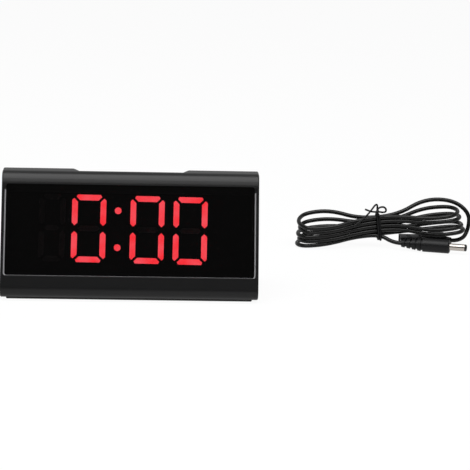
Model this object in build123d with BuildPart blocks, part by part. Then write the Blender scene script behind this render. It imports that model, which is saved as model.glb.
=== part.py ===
"""Wedge-shaped LED desk clock with its folded power lead. Millimetres, +Z up.

The origin is under the middle of the clock, on the surface that it stands on.
The display faces -Y, and +X is to the right of someone who reads the time.
"""

import os
from math import atan2, cos, degrees, radians, sin, sqrt, tan

from build123d import *

# Case
case_width = 132.0
case_depth = 56.0
top_depth = 12.56
face_lean = 19.0
wall = 2.0
lower_roll = 4.75
rear_lower_roll = 4.0
top_roll = 5.0
rear_top_roll = 3.0
end_round = 0.8
parting_height = 34.0
parting_groove = 0.3
plinth_inset = 3.2
plinth_drop = 0.7
plinth_round = 0.4
foot_radius = 5.0
foot_proud = 0.5
foot_pocket = 0.8
foot_end_inset = 17.0
foot_side_inset = 10.0
fit_gap = 0.1

# Window and lens
rail = 2.2
window_rise = 12.7
brow = 6.15
window_corner = 1.2
window_bevel = 0.6
lens_recess = 0.6
lens_thickness = 2.0
ledge_thickness = 1.4
ledge_side = 1.6
ledge_sill = 3.5
ledge_brow = 4.05

# Display
reflector_lap = 0.5
reflector_depth = 7.6
board_thickness = 1.6
digit_height = 34.9
digit_top_margin = 1.05
digit_bottom_margin = 3.65
digit_tilt = -0.6
digit_pitch = 14.6
narrow_pitch = 10.7
stroke = 2.9
point_gap = 3.1
point_length = 1.4
tip_length = 1.9
tip_inset = 1.0
bar_cut = 1.15
bar_end_gap = 0.8
bar_inner_cut = 1.75
segment_depth = 2.5
segment_gap = 0.05
segment_round = 0.2
leading_x = -40.2
hour_x = -21.4
colon_x = -6.5
minute_tens_x = 8.6
minute_units_x = 30.75
colon_radius = 1.7
colon_spread = 19.1
chip_length = 1.6
chip_width = 0.8
chip_height = 0.6
rib_length = 10.0
rib_width = 3.0
rib_thickness = 2.0
lower_rib_lift = 14.3
upper_rib_drop = 10.85

# Button well and buttons
well_depth = 3.5
well_lip = 4.1
well_ramp = 6.5
well_end_room = 1.0
button_setback = 4.5
button_length = 5.6
snooze_length = 14.0
button_width = 4.6
button_spacing = 2.2
button_proud = 1.6
button_gap = 0.2
button_round = 0.5
button_travel = 0.6
flange_lap = 0.6
flange_thickness = 0.8
nub_radius = 1.0
nub_length = 0.6
plunger_radius = 0.9
plunger_length = 1.6
plunger_gap = 0.1
switch_length = 6.0
switch_width = 3.6
switch_height = 2.0
switch_bore_floor = 0.6
button_board_end = 3.0
button_board_width = 7.2
button_board_thickness = 1.2
button_board_shift = 0.8
button_boss_gap = 3.8
button_boss_radius = 2.2

# Main board and what it carries
board_end_gap = 14.0
board_rear_gap = 3.9
board_rise = 9.0
board_boss_radius = 3.0
board_boss_inset = 4.0
board_screw_radius = 1.0
board_screw_length = 6.0
board_screw_head = 2.0
board_screw_head_height = 1.4
screw_gap = 0.05
chip_body_length = 10.0
chip_body_width = 4.0
chip_body_height = 1.6
chip_legs = 8
chip_leg_pitch = 1.27
chip_leg_width = 0.4
chip_leg_length = 1.0
controller_x = 20.5
controller_setback = 9.1
crystal_radius = 1.05
crystal_length = 6.2
crystal_x = 30.0
crystal_setback = 9.1
buzzer_radius = 6.0
buzzer_height = 7.5
buzzer_hole = 1.0
buzzer_hole_depth = 1.5
buzzer_x = -1.0
buzzer_setback = 13.0
capacitor_radius = 3.2
capacitor_height = 8.0
capacitor_x = 10.0
capacitor_setback = 12.0
jack_end_gap = 20.0
jack_width = 9.0
jack_length = 13.0
jack_height = 6.6
jack_axis_rise = 3.4
jack_bore = 2.15
jack_bore_depth = 10.0
jack_pin_radius = 0.8
jack_pin_root = 1.5
jack_pin_setback = 1.0
jack_window_gap = 0.3
jack_face_setback = 0.3
socket_length = 12.0
socket_width = 3.0
socket_height = 2.0
ribbon_thickness = 0.4
ribbon_width = 8.0
ribbon_bend = 6.0
display_socket_end_gap = 18.0
display_socket_lift = 9.3
display_socket_setback = 4.6
button_ribbon_x = -16.0
button_socket_shift = 1.5
button_socket_setback = 10.5
ribbon_knee_drop = 8.5
ribbon_heel_rise = 17.4

# Case screws
case_screw_inset = 8.5
case_screw_setback = 7.2
case_column_radius = 4.2
case_boss_radius = 3.2
case_boss_length = 11.0
case_boss_web = 2.0
case_screw_web = 6.0
case_screw_radius = 1.2
case_screw_grip = 8.0
case_screw_head = 2.6
case_screw_head_height = 2.0
case_counterbore = 2.9

# Backup cell and its hatch
hatch_end_gap = 22.0
hatch_y = 0.0
hatch_radius = 12.0
hatch_plate = 1.4
hatch_setback = 0.2
hatch_neck = 10.4
hatch_gap = 0.2
hatch_lug = 12.0
hatch_lug_angle = 32.0
hatch_lug_height = 1.0
hatch_turn = 60.0
coin_slot_length = 14.0
coin_slot_width = 1.8
coin_slot_depth = 0.8
cell_radius = 10.0
cell_height = 3.2
cell_gap = 0.1
holder_wall = 1.5
holder_roof = 0.8
contact_thickness = 0.4
contact_width = 5.0

# Power lead, folded into a hank and tied
lead_diameter = 2.4
lead_sides = 8
hank_pitch = 2.85
hank_turns = 5
hank_tilt = 6.0
hank_yaw = 3.0
hank_x = 144.1
hank_y = 115.0
hank_left = 48.5
hank_left_step = 0.5
hank_left_stagger = 0.9
hank_right = 49.3
hank_right_step = 0.9
fold_radius = 7.6
left_fold_growth = 0.5
right_fold_growth = 0.4
left_lift_low = 1.0
left_lift_high = 6.0
right_lift = 3.6
right_lift_growth = 0.2
right_droop = 4.0
right_droop_turn = 1.5
first_waist = -5.0
last_fold_x = 40.0
last_fold_y = -8.0
last_fold_lift = 6.2
last_apex_x = 53.0
last_apex_rise = 10.4
floor_gap = 0.05

# Barrel plug and rectangular plug on the lead's ends
dc_rear_x = 156.1
dc_rear_y = 106.5
dc_yaw = -16.0
dc_body_radius = 3.95
dc_body_length = 15.5
dc_body_round = 0.6
dc_relief_length = 12.5
dc_relief_radius = 2.1
dc_relief_rings = 4
dc_ring_fill = 0.6
dc_ring_groove = 0.7
dc_barrel_radius = 2.0
dc_barrel_bore = 0.85
dc_barrel_length = 8.6
dc_tip_length = 1.2
dc_tip_chamfer = 0.5
usb_rear_x = 42.5
usb_y = 117.5
usb_body_length = 14.5
usb_body_width = 14.4
usb_body_height = 7.4
usb_body_round = 1.6
usb_relief_length = 4.0
usb_relief_base = 2.6
usb_relief_tip = 1.7
usb_shell_length = 11.8
usb_shell_width = 12.0
usb_shell_height = 4.5
usb_shell_wall = 0.3
usb_window_length = 2.5
usb_window_width = 2.0
usb_window_spread = 5.0
usb_window_setback = 5.2
usb_tongue_width = 11.0
usb_tongue_height = 1.8
usb_tongue_setback = 0.6

# Tie round the waist of the hank
tie_radius = 0.6
tie_sides = 6
tie_gap = 0.45
tie_front_room = 1.2
tie_low_room = 0.8
tie_bend = 1.2
tie_riser = 0.9
tie_rise = 3.2
tie_left_tail = 7.0
tie_right_tail = 6.0

os.makedirs("parts", exist_ok=True)


def save(builder, name):
    """Label one finished piece and write it as its own file."""
    builder.part.label = name
    export_step(builder.part, f"parts/{name}.step")


# Side profile of the case: a wedge whose face and back both lean inwards
underside = foot_proud + plinth_drop
front_wall = lens_recess + lens_thickness + ledge_thickness
floor_top = underside + wall
sight_height = digit_height + digit_top_margin + digit_bottom_margin
window_height = sight_height + ledge_sill + ledge_brow
case_top = underside + (window_rise + window_height + brow) * cos(radians(face_lean))
ceiling = case_top - wall
well_floor = case_top - well_depth
tray_underside = well_floor - wall


def corner_reach(lean):
    """How far a unit roll's sharp corner stands outside the roll's own centre."""
    return (1 + sin(radians(lean))) / cos(radians(lean))


front_toe_y = -case_depth / 2 - lower_roll * (corner_reach(face_lean) - 1)


def face_y(height, depth=0.0):
    """Y of the display face at a height, or of a plane set that deep behind it."""
    return front_toe_y + (height - underside) * tan(radians(face_lean)) + depth / cos(radians(face_lean))


# The back leans as far as the depths of the base and the top ask
brow_y = face_y(case_top)
rear_rise = case_top - underside - rear_lower_roll
rear_run = case_depth / 2 - rear_lower_roll - brow_y - top_depth
rear_slant = sqrt(rear_rise**2 + rear_run**2 - rear_lower_roll**2)
rear_lean = 2 * degrees(atan2(rear_run + rear_lower_roll, rear_rise + rear_slant))
rear_toe_y = case_depth / 2 + rear_lower_roll * (corner_reach(rear_lean) - 1)


def rear_y(height, depth=0.0):
    """Y of the rear face at a height, or of a plane set that deep inside it."""
    return rear_toe_y - (height - underside) * tan(radians(rear_lean)) - depth / cos(radians(rear_lean))


# The face's own plane: x to the right, y up the slope from the toe, z outwards
face = Plane(
    origin=(0, front_toe_y, underside),
    x_dir=(1, 0, 0),
    z_dir=(0, -cos(radians(face_lean)), sin(radians(face_lean))),
)
window_width = case_width - 2 * rail
window_centre = window_rise + window_height / 2
sight_centre = window_rise + ledge_sill + sight_height / 2
sight_width = window_width - 2 * ledge_side
reflector_width = sight_width + 2 * reflector_lap
reflector_height = sight_height + 2 * reflector_lap
reflector_front = front_wall + fit_gap
display_board_front = reflector_front + reflector_depth
display_board_back = display_board_front + board_thickness

# Heights and places inside the case
board_top = board_rise + board_thickness
button_stem_bottom = tray_underside - plunger_gap - flange_thickness
plunger_top = button_stem_bottom - nub_length
switch_top = plunger_top - plunger_length + switch_height - switch_bore_floor - button_travel - plunger_gap
button_board_top = switch_top - switch_height
button_board_bottom = button_board_top - button_board_thickness
screw_seat = parting_height - case_screw_web
board_length = case_width - 2 * board_end_gap
board_front_y = face_y(board_rise, display_board_back)
board_rear_y = rear_y(board_top, wall) - board_rear_gap
jack_x = board_length / 2 - jack_end_gap
jack_axis = board_top + jack_axis_rise
jack_face_y = rear_y(board_top + jack_height) - jack_face_setback
hatch_x = hatch_end_gap - board_length / 2
button_row_end = snooze_length / 2 + 2 * (button_length + button_spacing)
well_lip_y = brow_y + well_lip
well_floor_width = 2 * (button_row_end + well_end_room)
well_top_width = well_floor_width + 2 * well_ramp
button_row_y = well_lip_y + button_setback
button_board_y = button_row_y + button_board_shift
button_boss_x = button_row_end + flange_lap + button_boss_gap
button_places = {
    "set": -(snooze_length / 2 + 1.5 * button_length + 2 * button_spacing),
    "down": -(snooze_length / 2 + button_length / 2 + button_spacing),
    "snooze": 0.0,
    "up": snooze_length / 2 + button_length / 2 + button_spacing,
    "alarm": snooze_length / 2 + 1.5 * button_length + 2 * button_spacing,
}
board_boss_places = [
    (x * (board_length / 2 - board_boss_inset), y)
    for x in (-1, 1)
    for y in (board_front_y + board_boss_inset, board_rear_y - board_boss_inset)
]
foot_x = case_width / 2 - plinth_inset - foot_end_inset
foot_y = case_depth / 2 - plinth_inset - foot_side_inset
foot_places = [(x, y) for x in (-foot_x, foot_x) for y in (-foot_y, foot_y)]
case_screw_x = case_width / 2 - case_screw_inset
case_screw_y = rear_y(parting_height, wall) - case_screw_setback
case_screw_places = [(-case_screw_x, case_screw_y), (case_screw_x, case_screw_y)]
button_boss_places = [(-button_boss_x, button_board_y), (button_boss_x, button_board_y)]


def length_of(name):
    """Length of a button along the row."""
    return snooze_length if name == "snooze" else button_length


# Hollow inside the case, left solid where the button well's tray hangs down
with BuildPart() as cavity:
    with BuildSketch(Plane.YZ) as hollow:
        with BuildLine():
            Polyline(
                (face_y(floor_top, front_wall), floor_top),
                (rear_y(floor_top, wall), floor_top),
                (rear_y(ceiling, wall), ceiling),
                (face_y(ceiling, front_wall), ceiling),
                close=True,
            )
        make_face()
        fillet(hollow.vertices().group_by(Axis.Y)[0].sort_by(Axis.X)[0], lower_roll - wall)
        fillet(hollow.vertices().group_by(Axis.Y)[0].sort_by(Axis.X)[-1], rear_lower_roll - wall)
    extrude(amount=case_width / 2 - wall, both=True)
    with BuildSketch(Plane.XZ):
        with Locations((0, (tray_underside + case_top) / 2)):
            Rectangle(well_top_width + 2 * wall, case_top - tray_underside)
    extrude(amount=case_depth, both=True, mode=Mode.SUBTRACT)

# Whole case before it is parted: rolled wedge, hollow, window, well and bosses
with BuildPart() as case_form:
    with BuildSketch(Plane.YZ) as side:
        with BuildLine():
            Polyline(
                (front_toe_y, underside),
                (rear_toe_y, underside),
                (rear_y(case_top), case_top),
                (face_y(case_top), case_top),
                close=True,
            )
        make_face()
        fillet(side.vertices().group_by(Axis.Y)[0].sort_by(Axis.X)[0], lower_roll)
        fillet(side.vertices().group_by(Axis.Y)[0].sort_by(Axis.X)[-1], rear_lower_roll)
        fillet(side.vertices().group_by(Axis.Y)[-1].sort_by(Axis.X)[0], top_roll)
        fillet(side.vertices().group_by(Axis.Y)[-1].sort_by(Axis.X)[-1], rear_top_roll)
    extrude(amount=case_width / 2, both=True)
    end_faces = case_form.faces().filter_by(Axis.X)
    fillet(end_faces.edges(), end_round)
    with BuildSketch(Plane.XY.offset(foot_proud)):
        Rectangle(case_width - 2 * plinth_inset, case_depth - 2 * plinth_inset)
    extrude(amount=floor_top - foot_proud)
    plinth_rim = case_form.faces().sort_by(Axis.Z)[0].edges()
    chamfer(plinth_rim, plinth_round)
    add(cavity.part, mode=Mode.SUBTRACT)

    # Window: a bevelled rebate for the lens, and the sight opening behind it
    with BuildSketch(face.offset(-lens_recess - lens_thickness)):
        with Locations((0, window_centre)):
            RectangleRounded(window_width, window_height, window_corner)
    extrude(amount=lens_recess + lens_thickness, mode=Mode.SUBTRACT)
    with BuildSketch(face.offset(-window_bevel)):
        with Locations((0, window_centre)):
            RectangleRounded(window_width, window_height, window_corner)
    extrude(amount=2 * window_bevel, taper=-45, mode=Mode.SUBTRACT)
    with BuildSketch(face.offset(-front_wall - fit_gap)):
        with Locations((0, sight_centre)):
            Rectangle(sight_width, sight_height)
    extrude(amount=front_wall, mode=Mode.SUBTRACT)

    # Button well behind the front roll, open to the rear, with ramped ends
    with BuildSketch(Plane.XZ.offset(-well_lip_y)):
        with BuildLine():
            Polyline(
                (-well_floor_width / 2, well_floor),
                (well_floor_width / 2, well_floor),
                (well_top_width / 2, case_top),
                (well_top_width / 2, case_top + wall),
                (-well_top_width / 2, case_top + wall),
                (-well_top_width / 2, case_top),
                close=True,
            )
        make_face()
    extrude(amount=-case_depth / 2, mode=Mode.SUBTRACT)
    with BuildSketch(Plane.XY.offset(well_floor)):
        for name, place in button_places.items():
            with Locations((place, button_row_y)):
                Rectangle(length_of(name) + 2 * button_gap, button_width + 2 * button_gap)
    extrude(amount=-wall, mode=Mode.SUBTRACT)
    with BuildSketch(Plane.XY.offset(button_board_top)):
        with Locations(*button_boss_places):
            Circle(button_boss_radius)
    extrude(amount=tray_underside - button_board_top)
    with BuildSketch(Plane.XY.offset(button_board_top)):
        with Locations(*button_boss_places):
            Circle(board_screw_radius + screw_gap)
    extrude(amount=board_screw_length, mode=Mode.SUBTRACT)

    # Ribs on the end walls that trap the display board against the window
    with BuildSketch(face.offset(-display_board_back - fit_gap)):
        rib_x = case_width / 2 - wall - rib_width / 2
        lower_rib_rise = window_rise + lower_rib_lift
        upper_rib_rise = window_rise + window_height - upper_rib_drop
        with Locations(*[(x, y) for x in (-rib_x, rib_x) for y in (lower_rib_rise, upper_rib_rise)]):
            Rectangle(rib_width, rib_length)
    extrude(amount=-rib_thickness)

    # Columns for the case screws, and posts that carry the main board
    with BuildSketch(Plane.XY.offset(floor_top)):
        with Locations(*case_screw_places):
            Circle(case_column_radius)
    extrude(amount=parting_height - floor_top)
    with BuildSketch(Plane.XY.offset(parting_height)):
        with Locations(*case_screw_places):
            Circle(case_boss_radius)
    extrude(amount=case_boss_length)
    boss_top = parting_height + case_boss_length
    for screw_x, screw_y in case_screw_places:
        with BuildSketch(Plane.YZ.offset(screw_x)):
            Polygon(
                (screw_y, parting_height),
                (rear_y(parting_height, wall / 2), parting_height),
                (rear_y(boss_top, wall / 2), boss_top),
                (screw_y, boss_top),
                align=None,
            )
        extrude(amount=case_boss_web / 2, both=True)
    with BuildSketch(Plane.XY.offset(foot_proud)):
        with Locations(*case_screw_places):
            Circle(case_counterbore)
    extrude(amount=screw_seat - foot_proud, mode=Mode.SUBTRACT)
    with BuildSketch(Plane.XY.offset(screw_seat)):
        with Locations(*case_screw_places):
            Circle(case_screw_radius + screw_gap)
    extrude(amount=case_screw_web + case_screw_grip + fit_gap, mode=Mode.SUBTRACT)
    with BuildSketch(Plane.XY.offset(floor_top)):
        with Locations(*board_boss_places):
            Circle(board_boss_radius)
    extrude(amount=board_rise - floor_top)
    with BuildSketch(Plane.XY.offset(board_rise)):
        with Locations(*board_boss_places):
            Circle(board_screw_radius + screw_gap)
    extrude(amount=board_thickness - board_screw_length - fit_gap, mode=Mode.SUBTRACT)

    # Opening for the supply socket in the rear wall
    with BuildSketch(Plane.XZ.offset(-case_depth / 4)):
        with Locations((jack_x, board_top + jack_height / 2)):
            Rectangle(jack_width + 2 * jack_window_gap, jack_height + 2 * jack_window_gap)
    extrude(amount=-case_depth / 2, mode=Mode.SUBTRACT)

    # Pockets for the feet, and the stepped hole of the cell hatch with its two lug notches
    with BuildSketch(Plane.XY.offset(foot_proud)):
        with Locations(*foot_places):
            Circle(foot_radius)
    extrude(amount=foot_pocket, mode=Mode.SUBTRACT)
    hatch_seat = foot_proud + hatch_setback + hatch_plate + hatch_gap
    with BuildSketch(Plane.XY.offset(foot_proud)):
        with Locations((hatch_x, hatch_y)):
            Circle(hatch_radius + hatch_gap)
    extrude(amount=hatch_seat - foot_proud, mode=Mode.SUBTRACT)
    with BuildSketch(Plane.XY.offset(hatch_seat)):
        with Locations((hatch_x, hatch_y)):
            Circle(hatch_neck + hatch_gap)
    extrude(amount=floor_top - hatch_seat, mode=Mode.SUBTRACT)
    with BuildSketch(Plane.XY.offset(hatch_seat)):
        with Locations((hatch_x, hatch_y)):
            with PolarLocations(0, 2, start_angle=-hatch_turn):
                notch_half = hatch_lug * sin(radians(hatch_lug_angle / 2)) + hatch_gap
                Rectangle(hatch_lug + hatch_gap, 2 * notch_half, align=(Align.MIN, Align.CENTER))
    extrude(amount=floor_top - hatch_seat, mode=Mode.SUBTRACT)

    # Fine groove round the case where the two halves meet
    groove_front = face_y(parting_height) + parting_groove
    groove_rear = rear_y(parting_height) - parting_groove
    with BuildSketch(Plane.XY.offset(parting_height - parting_groove / 2)):
        Rectangle(2 * case_width, 2 * case_depth)
        with Locations((0, (groove_front + groove_rear) / 2)):
            Rectangle(case_width - 2 * parting_groove, groove_rear - groove_front, mode=Mode.SUBTRACT)
    extrude(amount=parting_groove, mode=Mode.SUBTRACT)

with BuildPart() as upper_shell:
    add(case_form.part)
    split(bisect_by=Plane.XY.offset(parting_height), keep=Keep.TOP)
save(upper_shell, "upper_shell")

with BuildPart() as lower_shell:
    add(case_form.part)
    split(bisect_by=Plane.XY.offset(parting_height), keep=Keep.BOTTOM)
save(lower_shell, "lower_shell")

# Smoked lens, bonded into its rebate a little below the face
with BuildPart() as lens:
    with BuildSketch(face.offset(-lens_recess)):
        with Locations((0, window_centre)):
            RectangleRounded(
                window_width - 2 * fit_gap,
                window_height - 2 * fit_gap,
                window_corner - fit_gap,
            )
    extrude(amount=-lens_thickness)
save(lens, "lens")

# Digit segments: two bars with clipped corners, four pointed uprights and a middle bar
half_digit = digit_height / 2
half_stroke = stroke / 2
digit_rise = (digit_bottom_margin - digit_top_margin) / 2


def end_bars(pitch):
    """Top and bottom bars of a digit."""
    half = pitch / 2
    for turn in (0, 180):
        with Locations(Location((0, 0), turn)):
            Polygon(
                (-half + bar_end_gap + bar_cut / 2, half_digit),
                (-half + bar_end_gap, half_digit - bar_cut),
                (-half + bar_end_gap + bar_inner_cut, half_digit - stroke),
                (half - bar_end_gap - bar_inner_cut, half_digit - stroke),
                (half - bar_end_gap, half_digit - bar_cut),
                (half - bar_end_gap - bar_cut / 2, half_digit),
                align=None,
            )


def uprights(pitch):
    """Four upright segments of a digit, each pointed towards the middle."""
    half = pitch / 2
    foot = point_gap / 2
    head = half_digit - stroke + bar_cut - fit_gap
    for across in (-1, 1):
        for up in (-1, 1):
            points = [
                (half, foot),
                (half + half_stroke, foot + point_length),
                (half + half_stroke, head - tip_inset),
                (half + half_stroke - tip_inset, head),
                (half - half_stroke, head - tip_length),
                (half - half_stroke, foot + point_length),
            ]
            Polygon(*[(across * x, up * y) for x, y in points], align=None)


def middle_bar(pitch):
    """Middle bar of a digit, pointed at both ends."""
    reach = pitch / 2 - half_stroke - segment_gap
    Polygon(
        (-reach, 0),
        (-reach + half_stroke, half_stroke),
        (reach - half_stroke, half_stroke),
        (reach, 0),
        (reach - half_stroke, -half_stroke),
        (-reach + half_stroke, -half_stroke),
        align=None,
    )


digits = {
    "leading": (leading_x, narrow_pitch),
    "hour": (hour_x, digit_pitch),
    "minute_tens": (minute_tens_x, digit_pitch),
    "minute_units": (minute_units_x, digit_pitch),
}
segment_front = face.from_local_coords(Vector(0, sight_centre, -reflector_front))
segment_way = face.x_dir * cos(radians(digit_tilt)) + face.y_dir * sin(radians(digit_tilt))
segment_plane = Plane(origin=segment_front, x_dir=segment_way, z_dir=face.z_dir)

for digit in ("hour", "minute_tens", "minute_units"):
    place, pitch = digits[digit]
    with BuildPart() as lit_digit:
        with BuildSketch(segment_plane) as lit_outline:
            with Locations((place, digit_rise)):
                end_bars(pitch)
                uprights(pitch)
            fillet(lit_outline.vertices(), segment_round)
        extrude(amount=-segment_depth)
    save(lit_digit, f"{digit}_segments")

with BuildPart() as unlit_segments:
    with BuildSketch(segment_plane):
        for digit, (place, pitch) in digits.items():
            with Locations((place, digit_rise)):
                middle_bar(pitch)
                if digit == "leading":
                    end_bars(pitch)
                    uprights(pitch)
    extrude(amount=-segment_depth)
save(unlit_segments, "unlit_segments")

with BuildPart() as colon_dots:
    with BuildSketch(segment_plane):
        with Locations((colon_x, digit_rise)):
            with Locations((0, -colon_spread / 2), (0, colon_spread / 2)):
                Circle(colon_radius)
    extrude(amount=-segment_depth)
save(colon_dots, "colon_dots")

# Black reflector block: a light well behind every segment, right through to the board
with BuildPart() as display_reflector:
    with BuildSketch(face.offset(-reflector_front)):
        with Locations((0, sight_centre)):
            Rectangle(reflector_width, reflector_height)
    extrude(amount=-reflector_depth)
    with BuildSketch(segment_plane):
        for place, pitch in digits.values():
            with Locations((place, digit_rise)):
                end_bars(pitch)
                uprights(pitch)
                middle_bar(pitch)
        offset(amount=segment_gap, kind=Kind.INTERSECTION)
        with Locations((colon_x, digit_rise)):
            with Locations((0, -colon_spread / 2), (0, colon_spread / 2)):
                Circle(colon_radius + segment_gap)
    extrude(amount=-reflector_depth, mode=Mode.SUBTRACT)
save(display_reflector, "display_reflector")

with BuildPart() as display_board:
    with BuildSketch(face.offset(-display_board_front)):
        with Locations((0, sight_centre)):
            Rectangle(reflector_width, reflector_height)
    extrude(amount=-board_thickness)
save(display_board, "display_board")

# One light chip on the board behind each segment and dot
with BuildPart() as led_chips:
    with BuildSketch(segment_plane.offset(-reflector_depth)):
        for place, pitch in digits.values():
            upright_y = (point_gap / 2 + half_digit - stroke) / 2
            with Locations((place, digit_rise)):
                with Locations(*[(x * pitch / 2, y * upright_y) for x in (-1, 1) for y in (-1, 1)]):
                    Rectangle(chip_width, chip_length)
                with Locations((0, 0), (0, half_digit - half_stroke), (0, half_stroke - half_digit)):
                    Rectangle(chip_length, chip_width)
        with Locations((colon_x, digit_rise)):
            with Locations((0, -colon_spread / 2), (0, colon_spread / 2)):
                Rectangle(chip_length, chip_width)
    extrude(amount=chip_height)
save(led_chips, "led_chips")

# Five push buttons, each with a flange under the tray and a nub on its switch
for name, place in button_places.items():
    with BuildPart() as button:
        with BuildSketch(Plane.XY.offset(button_stem_bottom)):
            with Locations((place, button_row_y)):
                Rectangle(length_of(name), button_width)
        extrude(amount=well_floor + button_proud - button_stem_bottom)
        fillet(button.faces().sort_by(Axis.Z)[-1].edges(), button_round)
        with BuildSketch(Plane.XY.offset(button_stem_bottom)):
            with Locations((place, button_row_y)):
                Rectangle(length_of(name) + 2 * flange_lap, button_width + 2 * flange_lap)
        extrude(amount=flange_thickness)
        with BuildSketch(Plane.XY.offset(button_stem_bottom)):
            with Locations((place, button_row_y)):
                Circle(nub_radius)
        extrude(amount=-nub_length)
    save(button, f"{name}_button")
    with BuildPart() as plunger:
        with BuildSketch(Plane.XY.offset(plunger_top)):
            with Locations((place, button_row_y)):
                Circle(plunger_radius)
        extrude(amount=-plunger_length)
    save(plunger, f"{name}_plunger")

with BuildPart() as tact_switches:
    with BuildSketch(Plane.XY.offset(button_board_top)):
        with Locations(*[(place, button_row_y) for place in button_places.values()]):
            Rectangle(switch_length, switch_width)
    extrude(amount=switch_height)
    with BuildSketch(Plane.XY.offset(button_board_top + switch_bore_floor)):
        with Locations(*[(place, button_row_y) for place in button_places.values()]):
            Circle(plunger_radius + plunger_gap)
    extrude(amount=switch_height, mode=Mode.SUBTRACT)
save(tact_switches, "tact_switches")

with BuildPart() as button_board:
    with BuildSketch(Plane.XY.offset(button_board_bottom)):
        with Locations((0, button_board_y)):
            Rectangle(2 * (button_boss_x + button_board_end), button_board_width)
        with Locations(*button_boss_places):
            Circle(board_screw_radius + screw_gap, mode=Mode.SUBTRACT)
    extrude(amount=button_board_thickness)
save(button_board, "button_board")

with BuildPart() as main_board:
    with BuildSketch(Plane.XY.offset(board_rise)):
        with Locations((0, (board_front_y + board_rear_y) / 2)):
            Rectangle(board_length, board_rear_y - board_front_y)
        with Locations(*board_boss_places):
            Circle(board_screw_radius + screw_gap, mode=Mode.SUBTRACT)
    extrude(amount=board_thickness)
save(main_board, "main_board")

# Pan-head screws: four hold the main board down, two hold the button board up
with BuildPart() as board_screws:
    with BuildSketch(Plane.XY.offset(board_top)):
        with Locations(*board_boss_places):
            Circle(board_screw_head)
    extrude(amount=board_screw_head_height)
    with BuildSketch(Plane.XY.offset(board_top)):
        with Locations(*board_boss_places):
            Circle(board_screw_radius)
    extrude(amount=-board_screw_length)
    with BuildSketch(Plane.XY.offset(button_board_bottom)):
        with Locations(*button_boss_places):
            Circle(board_screw_head)
    extrude(amount=-board_screw_head_height)
    with BuildSketch(Plane.XY.offset(button_board_bottom)):
        with Locations(*button_boss_places):
            Circle(board_screw_radius)
    extrude(amount=board_screw_length)
save(board_screws, "board_screws")

with BuildPart() as case_screws:
    with BuildSketch(Plane.XY.offset(screw_seat)):
        with Locations(*case_screw_places):
            Circle(case_screw_head)
    extrude(amount=-case_screw_head_height)
    with BuildSketch(Plane.XY.offset(screw_seat)):
        with Locations(*case_screw_places):
            Circle(case_screw_radius)
    extrude(amount=case_screw_web + case_screw_grip)
save(case_screws, "case_screws")

with BuildPart() as rubber_feet:
    with BuildSketch():
        with Locations(*foot_places):
            Circle(foot_radius - fit_gap)
    extrude(amount=foot_proud + foot_pocket)
save(rubber_feet, "rubber_feet")

# Driver chip with its gull-wing legs, simplified to flat strips on the board
controller_y = board_front_y + controller_setback
with BuildPart() as controller_chip:
    with BuildSketch(Plane.XY.offset(board_top)):
        with Locations((controller_x, controller_y)):
            Rectangle(chip_body_length, chip_body_width)
    extrude(amount=chip_body_height)
    chamfer(controller_chip.faces().sort_by(Axis.Z)[-1].edges(), chip_leg_width / 2)
    with BuildSketch(Plane.XY.offset(board_top)):
        with Locations((controller_x, controller_y)):
            with GridLocations(chip_leg_pitch, 1, chip_legs, 1):
                Rectangle(chip_leg_width, chip_body_width + 2 * chip_leg_length)
    extrude(amount=chip_leg_width)
save(controller_chip, "controller_chip")

crystal_y = board_front_y + crystal_setback
with BuildPart() as clock_crystal:
    with BuildSketch(Plane.YZ.offset(crystal_x)):
        with Locations((crystal_y, board_top + crystal_radius)):
            Circle(crystal_radius)
    extrude(amount=crystal_length)
save(clock_crystal, "clock_crystal")

buzzer_y = board_rear_y - buzzer_setback
with BuildPart() as buzzer:
    with BuildSketch(Plane.XY.offset(board_top)):
        with Locations((buzzer_x, buzzer_y)):
            Circle(buzzer_radius)
    extrude(amount=buzzer_height)
    with BuildSketch(Plane.XY.offset(board_top + buzzer_height)):
        with Locations((buzzer_x, buzzer_y)):
            Circle(buzzer_hole)
    extrude(amount=-buzzer_hole_depth, mode=Mode.SUBTRACT)
save(buzzer, "buzzer")

capacitor_y = board_rear_y - capacitor_setback
with BuildPart() as capacitor:
    with BuildSketch(Plane.XY.offset(board_top)):
        with Locations((capacitor_x, capacitor_y)):
            Circle(capacitor_radius)
    extrude(amount=capacitor_height)
save(capacitor, "capacitor")

# Supply socket: its mouth looks out of the rear wall, with a pin in the middle of the bore
with BuildPart() as dc_jack:
    with BuildSketch(Plane.XZ.offset(-jack_face_y)):
        with Locations((jack_x, board_top + jack_height / 2)):
            Rectangle(jack_width, jack_height)
    extrude(amount=jack_length)
    with BuildSketch(Plane.XZ.offset(-jack_face_y)):
        with Locations((jack_x, jack_axis)):
            Circle(jack_bore)
    extrude(amount=jack_bore_depth, mode=Mode.SUBTRACT)
    with BuildSketch(Plane.XZ.offset(-jack_face_y)):
        with Locations((jack_x, jack_axis)):
            Circle(jack_pin_radius)
    extrude(amount=jack_bore_depth + jack_pin_root, mode=Mode.SUBTRACT)
save(dc_jack, "dc_jack")

with BuildPart() as dc_jack_pin:
    with BuildSketch(Plane.XZ.offset(-jack_face_y + jack_pin_setback)):
        with Locations((jack_x, jack_axis)):
            Circle(jack_pin_radius)
    extrude(amount=jack_bore_depth + jack_pin_root - jack_pin_setback)
save(dc_jack_pin, "dc_jack_pin")

# Flat ribbons: display board to main board, and button board to main board
display_socket = face.offset(-display_board_back)
display_ribbon_x = display_socket_end_gap - board_length / 2
display_ribbon_rise = window_rise + display_socket_lift
display_ribbon_y = board_front_y + display_socket_setback
button_ribbon_top_y = button_board_y + button_socket_shift
button_ribbon_y = board_rear_y - button_socket_setback
ribbon_start = display_socket.from_local_coords(
    Vector(display_ribbon_x, display_ribbon_rise - socket_width / 2 - fit_gap, -socket_height / 2)
)
socket_top = board_top + socket_height
button_socket_bottom = button_board_bottom - socket_height

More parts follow.
